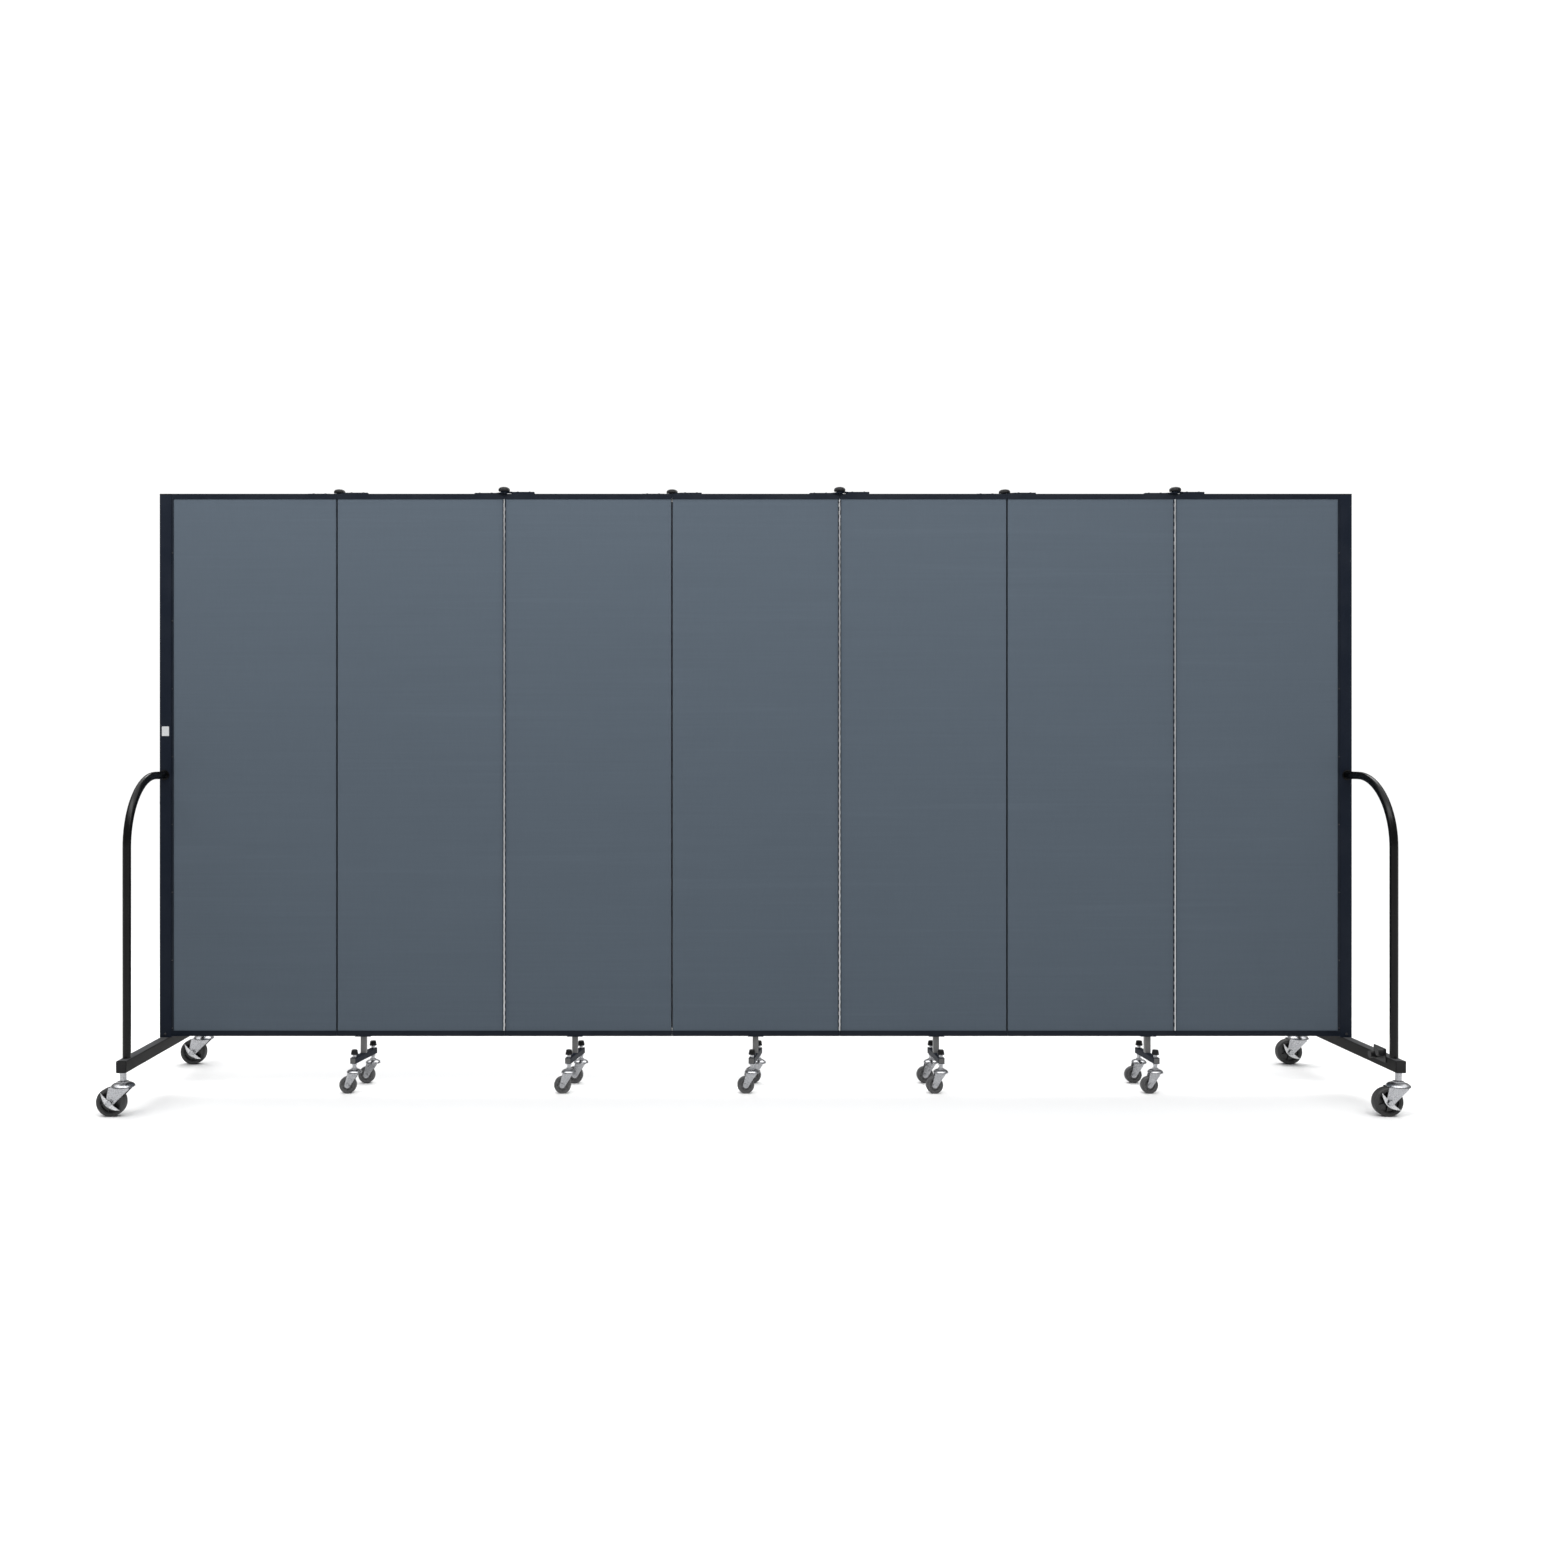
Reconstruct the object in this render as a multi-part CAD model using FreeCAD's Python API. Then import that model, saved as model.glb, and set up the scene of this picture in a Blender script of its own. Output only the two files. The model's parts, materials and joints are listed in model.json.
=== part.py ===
import FreeCAD, Part
import math
import os
from types import SimpleNamespace

# A folding partition wall on casters: seven fabric-covered panels joined by continuous hinges.
# X runs along the wall, -Y is the front, +Z is up, and the floor is at Z 0. Lengths are millimetres.

V = FreeCAD.Vector
ALONG_X = V(1, 0, 0)
ALONG_Y = V(0, 1, 0)
ALONG_Z = V(0, 0, 1)

# ---------------------------------------------------------------- driving dimensions
PANEL_COUNT = 7
HINGE_PITCH = 562.0  # between the hinge axes of one panel
PANEL_TOP = 1996.0
PANEL_DEPTH = 38.0
PANEL_FOOT_GAP = 4.0  # from the end feet up to the panels

# Rails, stiles and the fabric-covered board
RAIL_HEIGHT = 18.0
RAIL_WALL = 1.6
RAIL_END_GAP = 0.3  # from a hinge axis to the end of each rail
STILE_WIDTH = 16.0
STILE_WALL = 1.4
WRAP_THICKNESS = 1.2  # fabric and lining over the stiles

# Continuous hinge between two panels
BARREL_RADIUS = 2.5
BARREL_PROUD = 2.0  # from the panel face out to the hinge axis
PIN_RADIUS = 1.2
PIN_CLEARANCE = 0.05
LEAF_THICKNESS = 1.2
LEAF_DEPTH = 30.0
LEAF_END_GAP = 1.0  # from the rails to the hinge
KNUCKLE_COUNT = 36
KNUCKLE_GAP = 0.4
BARREL_CLEARANCE = 0.4

# Friction straps and tension knob over each hinge
STRAP_LENGTH = 100.0
STRAP_WIDTH = 20.0
STRAP_THICKNESS = 3.0
STRAP_INSET = 2.0  # from the panel face to the strap's edge
STRAP_EYE_RADIUS = 11.0
STRAP_GAP = 0.5
STRAP_NECK = 30.0  # where the eye starts to widen out of the arm
PACKER_START = 24.0
STRAP_SCREW_PLACES = (44.0, 84.0)
STRAP_SCREW_RADIUS = 4.5
STRAP_SCREW_HEIGHT = 2.4
BOLT_RADIUS = 4.0
BOLT_CLEARANCE = 0.06
KNOB_RADIUS = 19.0
KNOB_HEIGHT = 14.0
KNOB_ROUND = 4.0
KNOB_BOLT_DEPTH = 8.0

# End frames: foot, post, curved brace
FOOT_LENGTH = 720.0
FOOT_WIDTH = 32.0
FOOT_HEIGHT = 38.0
FOOT_WALL = 2.0
FOOT_ROUND = 3.5
POST_WIDTH = 40.0
POST_WALL = 2.0
POST_ROUND = 2.5
BRACE_RADIUS = 12.7
BRACE_WALL = 1.6
BRACE_TOP = 1053.0  # height of the tube's centre line at the post
BRACE_BEND = 222.0
BRACE_STANDOFF = 318.0  # from the wall's middle plane to the upright stretch
BRACE_COLLAR_RADIUS = 17.0
BRACE_COLLAR_THICKNESS = 4.0
STACK_CLEARANCE = 0.5  # the brace passes beside the folded panels by this much
CAP_THICKNESS = 3.0

# Edge channel that joins an end board to its post
CHANNEL_COVER = 7.0
CHANNEL_WEB = 2.0
CHANNEL_SCREWS = 8
CHANNEL_SCREW_LOWEST = 27.0
CHANNEL_SCREW_HIGHEST = 198.5  # below the panel's top
CHANNEL_SCREW_RADIUS = 2.6
CHANNEL_SCREW_HEIGHT = 1.4

# Strap bolt on the outer side of each post
POST_BOLT_HEIGHT = 960.0
POST_BOLT_RADIUS = 8.0
POST_BOLT_HEAD = 5.0

# Storage catch on the right-hand foot
CATCH_PLATE_THICKNESS = 3.0
CATCH_LENGTH = 74.0
CATCH_RISE = 44.0
CATCH_PAD_RADIUS = 11.0
CATCH_PAD_LENGTH = 20.0
CATCH_BRACE_GAP = 2.0

# Middle legs
LEG_TUBE = 19.0
LEG_WALL = 1.5
LEG_ROUND = 2.0
LEG_PLATE_LENGTH = 52.0
LEG_PLATE_DEPTH = 34.0
LEG_PLATE_THICKNESS = 2.5
CROSSBAR_SIZE = 20.0
CROSSBAR_OVERHANG = 11.0  # from a caster stem to the crossbar's end
LEG_CASTER_SPACING = 140.0
LEG_OFFSETS = {2: -194.0, 3: -45.0, 4: 0.0, 5: 45.0, 6: 194.0}  # from the panel's middle
LEG_SKEWS = {2: 12.0, 3: 12.0, 4: 12.0, 5: -3.0, 6: -3.0}  # degrees, crossbar from square
LEG_KNOB_RADIUS = 12.0
LEG_KNOB_TOP_RADIUS = 8.0
LEG_KNOB_HEIGHT = 16.0
LEG_KNOB_LIFT = 9.0  # bare stem between crossbar and knob

SMALL = SimpleNamespace(
    wheel_radius=28.0,
    wheel_width=20.0,
    tyre_depth=7.0,
    tyre_round=4.0,
    trail=21.0,
    axle_radius=4.0,
    plate=2.0,
    side_gap=1.5,
    crown_radius=25.0,
    crown_top_radius=10.0,
    crown_gap=13.0,  # over the tyre
    crown_rise=10.7,
    crown_wall=2.4,
    cheek_back=-20.0,
    cheek_front=13.0,
    cheek_lip=4.0,
    cheek_end_radius=9.0,
    stem_radius=6.0,
    bare_stem=9.9,  # between the upper race and the collar
    collar_flats=14.0,
    collar_height=6.0,
    pin_radius=3.5,
    pin_head_radius=5.5,
    nut_flats=12.0,
    nut_height=4.0,
    lever=False,
)
LARGE = SimpleNamespace(
    wheel_radius=45.0,
    wheel_width=30.0,
    tyre_depth=11.0,
    tyre_round=6.0,
    trail=35.0,
    axle_radius=5.0,
    plate=2.5,
    side_gap=1.5,
    crown_radius=36.0,
    crown_top_radius=17.0,
    crown_gap=2.0,  # over the tyre
    crown_rise=12.5,
    crown_wall=3.0,
    cheek_back=-38.0,
    cheek_front=24.0,
    cheek_lip=6.0,
    cheek_end_radius=12.0,
    stem_radius=6.0,
    bare_stem=4.1,  # between the upper race and the collar
    collar_flats=19.0,
    collar_height=24.0,
    pin_radius=5.0,
    pin_head_radius=8.0,
    nut_flats=17.0,
    nut_height=5.0,
    lever=True,
)
RACE_GAP = 0.4
RACE_THICKNESS = 3.0
RUNNING_CLEARANCE = 0.06
HUB_FACE_GAP = 0.4
HUB_RECESS = 3.0
HUB_BOSS = 5.0  # boss wall around the axle
LEVER_LENGTH = 79.0  # between the crescent's tips
LEVER_CHORD_LIFT = 5.0  # from the axle up to the line between the tips
LEVER_BULGE = 15.0  # from that line down to the outer edge
LEVER_HOLLOW = 2.0  # from that line down to the inner edge
LEVER_BOSS_RADIUS = 10.0
LEVER_TIP_RADIUS = 1.5
LEVER_THICKNESS = 2.5
LEVER_GAP = 0.4
LEVER_TILT = -42.0  # degrees
FOOT_CASTER_INSET = 15.0

# ---------------------------------------------------------------- derived sizes
for kind in (SMALL, LARGE):
    kind.crown_bottom = 2 * kind.wheel_radius + kind.crown_gap
    kind.crown_top = kind.crown_bottom + kind.crown_rise
    race_top = kind.crown_top + RACE_GAP + RACE_THICKNESS
    kind.socket_z = race_top + kind.bare_stem + kind.collar_height  # underside of the bar above
FACE = PANEL_DEPTH / 2
BOARD_FACE = FACE - RAIL_WALL
HINGE_OFFSET = FACE + BARREL_PROUD
END_PLANE = HINGE_PITCH + BARREL_RADIUS + STACK_CLEARANCE + BRACE_RADIUS  # axis to foot's middle
POST_OUTER = END_PLANE + FOOT_WIDTH / 2
POST_INNER = POST_OUTER - POST_WIDTH
FOOT_BOTTOM = LARGE.socket_z
FOOT_TOP = FOOT_BOTTOM + FOOT_HEIGHT
PANEL_BOTTOM = FOOT_TOP + PANEL_FOOT_GAP
CHANNEL_SCREW_RUN = PANEL_TOP - CHANNEL_SCREW_HIGHEST - PANEL_BOTTOM - CHANNEL_SCREW_LOWEST
CHANNEL_SCREW_PITCH = CHANNEL_SCREW_RUN / (CHANNEL_SCREWS - 1)
CROSSBAR_BOTTOM = SMALL.socket_z
CROSSBAR_TOP = CROSSBAR_BOTTOM + CROSSBAR_SIZE
LEFT_REACH = END_PLANE + LARGE.trail + LARGE.wheel_radius
RIGHT_REACH = max(POST_OUTER + POST_BOLT_HEAD, END_PLANE + LARGE.crown_radius)
CENTRE_SHIFT = (LEFT_REACH - RIGHT_REACH) / 2  # puts the origin under the middle of the box


def seam_x(seam):
    """X of a hinge axis. Seam 1 joins panels 1 and 2."""
    return CENTRE_SHIFT + (seam - PANEL_COUNT / 2) * HINGE_PITCH


def seam_side(seam):
    """-1 where the barrel is on the front face, +1 where it is on the back face."""
    return -1 if seam % 2 == 0 else 1


def end_x(side, reach):
    """X of a point on an end panel, by its distance out from that panel's hinge axis."""
    seam = 1 if side < 0 else PANEL_COUNT - 1
    return seam_x(seam) + side * reach


# ---------------------------------------------------------------- shape helpers
def box(x0, x1, y0, y1, z0, z1):
    low = V(min(x0, x1), min(y0, y1), min(z0, z1))
    return Part.makeBox(abs(x1 - x0), abs(y1 - y0), abs(z1 - z0), low)


def rod(start, direction, radius, length):
    return Part.makeCylinder(radius, length, start, direction)


def ring(start, direction, outer, inner, length):
    return rod(start, direction, outer, length).cut(rod(start, direction, inner, length))


def round_along(shape, direction, radius):
    """Rounds the straight edges that run along one direction."""
    edges = []
    for edge in shape.Edges:
        if abs(edge.tangentAt(edge.FirstParameter).dot(direction)) > 0.999:
            edges.append(edge)
    return shape.makeFillet(radius, edges)


def extrude_xy(points, z0, z1):
    wire = Part.makePolygon([V(x, y, z0) for x, y in points + points[:1]])
    return Part.Face(wire).extrude(V(0, 0, z1 - z0))


def extrude_xz(points, y0, y1):
    wire = Part.makePolygon([V(x, y0, z) for x, z in points + points[:1]])
    return Part.Face(wire).extrude(V(0, y1 - y0, 0))


def hexagon(centre_x, centre_y, across_flats, z0, z1):
    corner = across_flats / math.sqrt(3)
    turns = [math.radians(60 * i) for i in range(6)]
    points = [(centre_x + corner * math.cos(a), centre_y + corner * math.sin(a)) for a in turns]
    return extrude_xy(points, z0, z1)


def tangent_point(point, centre, radius, side):
    """Where a line from the point touches the circle; side is +1 or -1."""
    dx = point[0] - centre[0]
    dy = point[1] - centre[1]
    turn = math.atan2(dy, dx) + side * math.acos(radius / math.hypot(dx, dy))
    return centre[0] + radius * math.cos(turn), centre[1] + radius * math.sin(turn)


def hollow_bar(x0, x1, y0, y1, z0, z1, wall, direction, rounding):
    """A square tube, open at both ends, along one axis."""
    outer = round_along(box(x0, x1, y0, y1, z0, z1), direction, rounding)
    inset = V(wall, wall, wall) - direction * wall
    inner = box(x0 + inset.x, x1 - inset.x, y0 + inset.y, y1 - inset.y, z0 + inset.z, z1 - inset.z)
    return outer.cut(inner)


def save(name, solids):
    Part.makeCompound(solids).exportStep("parts/" + name + ".step")


# ---------------------------------------------------------------- panels
def panel_span(panel, gap):
    """X limits of a panel: the posts, or the given gap from its hinge axes."""
    left = end_x(-1, POST_INNER) if panel == 1 else seam_x(panel - 1) + gap
    right = end_x(1, POST_INNER) if panel == PANEL_COUNT else seam_x(panel) - gap
    return left, right


def board_span(panel):
    left, right = panel_span(panel, BARREL_RADIUS)
    if panel == 1:
        left += CHANNEL_WEB
    if panel == PANEL_COUNT:
        right -= CHANNEL_WEB
    return left, right


def stile_places(panel):
    """Low X of the stile at each hinged edge."""
    left, right = board_span(panel)
    places = []
    if panel > 1:
        places.append(left + WRAP_THICKNESS)
    if panel < PANEL_COUNT:
        places.append(right - WRAP_THICKNESS - STILE_WIDTH)
    return places


def stile_block(low_x):
    half = BOARD_FACE - WRAP_THICKNESS
    z0 = PANEL_BOTTOM + RAIL_WALL
    z1 = PANEL_TOP - RAIL_WALL
    return low_x, low_x + STILE_WIDTH, -half, half, z0, z1


def board(panel):
    left, right = board_span(panel)
    z0 = PANEL_BOTTOM + RAIL_WALL
    z1 = PANEL_TOP - RAIL_WALL
    shape = box(left, right, -BOARD_FACE, BOARD_FACE, z0, z1)
    for low_x in stile_places(panel):
        shape = shape.cut(box(*stile_block(low_x)))
    return shape


def rail(panel, z_web, z_lip):
    """A channel whose web is at z_web and whose flanges end at z_lip."""
    left, right = panel_span(panel, RAIL_END_GAP)
    up = 1 if z_lip > z_web else -1
    outer = box(left, right, -FACE, FACE, z_web, z_lip)
    return outer.cut(box(left, right, -BOARD_FACE, BOARD_FACE, z_web + up * RAIL_WALL, z_lip))


def edge_channel(side):
    """The channel between an end board and its post, with its screws."""
    z0 = PANEL_BOTTOM + RAIL_HEIGHT
    z1 = PANEL_TOP - RAIL_HEIGHT
    web = end_x(side, POST_INNER - CHANNEL_WEB)
    mouth = end_x(side, POST_INNER - CHANNEL_COVER)
    outer = box(end_x(side, POST_INNER), mouth, -FACE, FACE, z0, z1)
    solids = [outer.cut(box(web, mouth, -BOARD_FACE, BOARD_FACE, z0, z1))]
    screw_x = end_x(side, POST_INNER - CHANNEL_COVER / 2)
    for i in range(CHANNEL_SCREWS):
        z = PANEL_BOTTOM + CHANNEL_SCREW_LOWEST + i * CHANNEL_SCREW_PITCH
        for face in (-1, 1):
            start = V(screw_x, face * FACE, z)
            head = rod(start, ALONG_Y * face, CHANNEL_SCREW_RADIUS, CHANNEL_SCREW_HEIGHT)
            solids.append(head)
    return solids


def stiles(panel):
    solids = []
    for low_x in stile_places(panel):
        x0, x1, y0, y1, z0, z1 = stile_block(low_x)
        inner = box(x0 + STILE_WALL, x1 - STILE_WALL, y0 + STILE_WALL, y1 - STILE_WALL, z0, z1)
        solids.append(box(x0, x1, y0, y1, z0, z1).cut(inner))
    return solids


def hinge_heights():
    """Low and high ends of the continuous hinges, between the rails."""
    reach = RAIL_HEIGHT + LEAF_END_GAP
    return PANEL_BOTTOM + reach, PANEL_TOP - reach


def hinge_leaf(seam, side):
    """Leaf on the panel to the left (side -1) or right (side +1) of a seam."""
    x = seam_x(seam)
    face = seam_side(seam)
    axis_y = face * HINGE_OFFSET
    z0, z1 = hinge_heights()
    outer_x = x + side * BARREL_RADIUS
    inner_x = outer_x - side * LEAF_THICKNESS
    plate_y = axis_y - face * (BARREL_RADIUS + BARREL_CLEARANCE)
    plate = box(outer_x, inner_x, plate_y, plate_y - face * LEAF_DEPTH, z0, z1)
    pitch = (z1 - z0) / KNUCKLE_COUNT
    pieces = []
    first = 0 if side < 0 else 1
    for i in range(first, KNUCKLE_COUNT, 2):
        low = z0 + i * pitch + KNUCKLE_GAP / 2
        high = low + pitch - KNUCKLE_GAP
        pieces.append(rod(V(x, axis_y, low), ALONG_Z, BARREL_RADIUS, high - low))
        pieces.append(box(outer_x, inner_x, axis_y, plate_y, low, high))
    bore = rod(V(x, axis_y, z0), ALONG_Z, PIN_RADIUS + PIN_CLEARANCE, z1 - z0)
    return plate.multiFuse(pieces).cut(bore).removeSplitter()


def hinge_pin(seam):
    z0, z1 = hinge_heights()
    return rod(V(seam_x(seam), seam_side(seam) * HINGE_OFFSET, z0), ALONG_Z, PIN_RADIUS, z1 - z0)


def strap(seam, side):
    """Friction strap on the panel to the left (-1) or right (+1). The right one rides on top."""
    x = seam_x(seam)
    face = seam_side(seam)
    eye = (x, face * HINGE_OFFSET)
    lift = STRAP_GAP if side < 0 else 2 * STRAP_GAP + STRAP_THICKNESS
    z0 = PANEL_TOP + lift
    z1 = z0 + STRAP_THICKNESS
    edge_y = face * (FACE - STRAP_INSET)
    far_y = edge_y - face * STRAP_WIDTH
    neck_x = x + side * STRAP_NECK
    end = x + side * STRAP_LENGTH
    turn = side * face
    near_touch = tangent_point((neck_x, edge_y), eye, STRAP_EYE_RADIUS, turn)
    far_touch = tangent_point((neck_x, far_y), eye, STRAP_EYE_RADIUS, -turn)
    neck = extrude_xy([(neck_x, edge_y), near_touch, eye, far_touch, (neck_x, far_y)], z0, z1)
    arm = box(neck_x, end, edge_y, far_y, z0, z1)
    packer = box(x + side * PACKER_START, end, edge_y, far_y, PANEL_TOP, z0)
    disc = rod(V(eye[0], eye[1], z0), ALONG_Z, STRAP_EYE_RADIUS, STRAP_THICKNESS)
    hole_radius = BOLT_RADIUS if side < 0 else BOLT_RADIUS + BOLT_CLEARANCE
    hole = rod(V(eye[0], eye[1], z0), ALONG_Z, hole_radius, STRAP_THICKNESS)
    return disc.multiFuse([neck, arm, packer]).cut(hole).removeSplitter(), z1, (edge_y + far_y) / 2


def strap_set(seam, side):
    """A strap with its screws and, on the left panel, the pivot bolt and tension knob."""
    x = seam_x(seam)
    shape, top, middle_y = strap(seam, side)
    solids = [shape]
    for place in STRAP_SCREW_PLACES:
        start = V(x + side * place, middle_y, top)
        solids.append(rod(start, ALONG_Z, STRAP_SCREW_RADIUS, STRAP_SCREW_HEIGHT))
    if side < 0:
        axis_y = seam_side(seam) * HINGE_OFFSET
        knob_z = PANEL_TOP + 3 * STRAP_GAP + 2 * STRAP_THICKNESS
        bolt_z = PANEL_TOP + STRAP_GAP
        bolt_length = knob_z + KNOB_BOLT_DEPTH - bolt_z
        bolt = rod(V(x, axis_y, bolt_z), ALONG_Z, BOLT_RADIUS, bolt_length)
        knob = rod(V(x, axis_y, knob_z), ALONG_Z, KNOB_RADIUS, KNOB_HEIGHT)
        top_edges = [e for e in knob.Edges if e.BoundBox.ZMin > knob_z + KNOB_HEIGHT / 2]
        knob = knob.makeFillet(KNOB_ROUND, top_edges).cut(bolt)
        solids += [bolt, knob]
    return solids


def panel_frame(panel):
    solids = [rail(panel, PANEL_TOP, PANEL_TOP - RAIL_HEIGHT)]
    solids.append(rail(panel, PANEL_BOTTOM, PANEL_BOTTOM + RAIL_HEIGHT))
    solids += stiles(panel)
    if panel > 1:
        solids += strap_set(panel - 1, 1)
    else:
        solids += edge_channel(-1)
    if panel < PANEL_COUNT:
        solids += strap_set(panel, -1)
    else:
        solids += edge_channel(1)
    return solids


def panel_hinges(panel):
    solids = []
    if panel > 1:
        solids.append(hinge_leaf(panel - 1, 1))
    if panel < PANEL_COUNT:
        solids.append(hinge_leaf(panel, -1))
        solids.append(hinge_pin(panel))
    return solids


# ---------------------------------------------------------------- casters
def caster_stem(kind, x, y, top_z):
    """The fixed half of a caster: stem, upper race, king pin and hexagonal collar."""
    race_z = kind.crown_top + RACE_GAP
    head_z = kind.crown_top - kind.crown_wall - RACE_GAP - RACE_THICKNESS
    pieces = [rod(V(x, y, race_z), ALONG_Z, kind.crown_top_radius, RACE_THICKNESS)]
    pieces.append(rod(V(x, y, race_z), ALONG_Z, kind.stem_radius, top_z - race_z))
    pieces.append(rod(V(x, y, head_z), ALONG_Z, kind.pin_radius, race_z - head_z))
    head = rod(V(x, y, head_z), ALONG_Z, kind.pin_head_radius, RACE_THICKNESS)
    stem = head.multiFuse(pieces).removeSplitter()
    collar = hexagon(x, y, kind.collar_flats, kind.socket_z - kind.collar_height, kind.socket_z)
    return [stem, collar.cut(rod(V(x, y, 0), ALONG_Z, kind.stem_radius, top_z))]


def fork(kind, x, y):
    """Crown, two cheeks, the axle and its two nuts."""
    crown_low = V(x, y, kind.crown_bottom)
    drop = V(0, 0, kind.crown_wall)
    dome = Part.makeCone(kind.crown_radius, kind.crown_top_radius, kind.crown_rise, crown_low, ALONG_Z)
    inner_radius = kind.crown_radius - kind.crown_wall
    inner_top = kind.crown_top_radius - kind.crown_wall / 2
    hollow = Part.makeCone(inner_radius, inner_top, kind.crown_rise, crown_low - drop, ALONG_Z)
    crown = dome.cut(hollow)
    inner = kind.wheel_width / 2 + kind.side_gap
    axle = (x - kind.trail, kind.wheel_radius)
    lip_z = kind.crown_bottom - kind.cheek_lip
    back = (x + kind.cheek_back, kind.crown_bottom)
    lip = (x + kind.cheek_front, lip_z)
    touch_lip = tangent_point(lip, axle, kind.cheek_end_radius, -1)
    touch_back = tangent_point(back, axle, kind.cheek_end_radius, 1)
    front = (x + kind.cheek_front, kind.crown_bottom)
    outline = [back, front, lip, touch_lip, axle, touch_back]
    pieces = []
    for side in (-1, 1):
        y0 = y + side * inner
        y1 = y0 + side * kind.plate
        pieces.append(extrude_xz(outline, y0, y1))
        pieces.append(rod(V(axle[0], y0, axle[1]), ALONG_Y * side, kind.cheek_end_radius, kind.plate))
        ear = box(x + kind.cheek_back, x + kind.cheek_front, y0, y1, kind.crown_bottom, kind.crown_top)
        pieces.append(ear.common(dome))
    bore = rod(V(x, y, 0), ALONG_Z, kind.pin_radius + RUNNING_CLEARANCE, kind.crown_top)
    body = crown.multiFuse(pieces).cut(bore)
    half = inner + kind.plate
    axle_start = V(axle[0], y - half, axle[1])
    body = body.cut(rod(axle_start, ALONG_Y, kind.axle_radius, 2 * half)).removeSplitter()
    front_stack = LEVER_GAP * 2 + LEVER_THICKNESS if kind.lever else 0.0
    nut_front = y - half - front_stack
    bolt_start = V(axle[0], nut_front - kind.nut_height, axle[1])
    bolt = rod(bolt_start, ALONG_Y, kind.axle_radius, 2 * half + front_stack + 2 * kind.nut_height)
    nuts = []
    for y0 in (nut_front - kind.nut_height, y + half):
        nut = hexagon(0, 0, kind.nut_flats, 0, kind.nut_height)
        nut.rotate(V(0, 0, 0), ALONG_X, -90)
        nut.translate(V(axle[0], y0, axle[1]))
        nuts.append(nut.cut(bolt))
    return [body, bolt] + nuts


def wheel(kind, x, y):
    """Tyre and hub, turning on the axle."""
    cx = x - kind.trail
    cz = kind.wheel_radius
    half = kind.wheel_width / 2
    hub_radius = kind.wheel_radius - kind.tyre_depth
    start = V(cx, y - half, cz)
    tyre = rod(start, ALONG_Y, kind.wheel_radius, kind.wheel_width)
    rims = [e for e in tyre.Edges if abs(e.Length - 2 * math.pi * kind.wheel_radius) < 0.1]
    tyre = tyre.makeFillet(kind.tyre_round, rims)
    tyre = tyre.cut(rod(start, ALONG_Y, hub_radius, kind.wheel_width))
    hub = rod(start, ALONG_Y, hub_radius, kind.wheel_width)
    bore = kind.axle_radius + RUNNING_CLEARANCE
    boss_radius = bore + HUB_BOSS
    for side in (-1, 1):
        dish_start = V(cx, y + side * half, cz)
        dish = ring(dish_start, ALONG_Y * -side, hub_radius - HUB_RECESS, boss_radius, HUB_RECESS)
        hub = hub.cut(dish)
    boss_half = half + kind.side_gap - HUB_FACE_GAP
    boss_start = V(cx, y - boss_half, cz)
    hub = hub.fuse(rod(boss_start, ALONG_Y, boss_radius, 2 * boss_half))
    hub = hub.cut(rod(boss_start, ALONG_Y, bore, 2 * boss_half)).removeSplitter()
    return [tyre, hub]


def lever(kind, x, y):
    """Crescent-shaped brake lever outside the front cheek, turning about the axle."""
    cx = x - kind.trail
    cz = kind.wheel_radius
    y1 = y - kind.wheel_width / 2 - kind.side_gap - kind.plate - LEVER_GAP
    y0 = y1 - LEVER_THICKNESS
    chord_z = cz + LEVER_CHORD_LIFT
    left = V(cx - LEVER_LENGTH / 2, y0, chord_z)
    right = V(cx + LEVER_LENGTH / 2, y0, chord_z)
    outer = Part.Arc(left, V(cx, y0, chord_z - LEVER_BULGE), right).toShape()
    inner = Part.Arc(right, V(cx, y0, chord_z - LEVER_HOLLOW), left).toShape()
    crescent = Part.Face(Part.Wire([outer, inner])).extrude(V(0, LEVER_THICKNESS, 0))
    rounds = [rod(tip, ALONG_Y, LEVER_TIP_RADIUS, LEVER_THICKNESS) for tip in (left, right)]
    rounds.append(rod(V(cx, y0, cz), ALONG_Y, LEVER_BOSS_RADIUS, LEVER_THICKNESS))
    bore = rod(V(cx, y0, cz), ALONG_Y, kind.axle_radius + RUNNING_CLEARANCE, LEVER_THICKNESS)
    plate = crescent.multiFuse(rounds).cut(bore).removeSplitter()
    plate.rotate(V(cx, y0, cz), ALONG_Y, -LEVER_TILT)
    return [plate]


def save_caster(name, kind, x, y):
    save(name + "_fork", fork(kind, x, y))
    save(name + "_wheel", wheel(kind, x, y))
    if kind.lever:
        save(name + "_brake", lever(kind, x, y))


# ---------------------------------------------------------------- middle legs
def leg_centre_x(panel):
    return (seam_x(panel - 1) + seam_x(panel)) / 2 + LEG_OFFSETS[panel]


def leg_stem_places(panel):
    """Front and rear caster stems of a middle leg."""
    half = LEG_CASTER_SPACING / 2
    skew = math.radians(LEG_SKEWS[panel])
    x = leg_centre_x(panel)
    front = (x - half * math.sin(skew), -half * math.cos(skew))
    rear = (x + half * math.sin(skew), half * math.cos(skew))
    return front, rear


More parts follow.
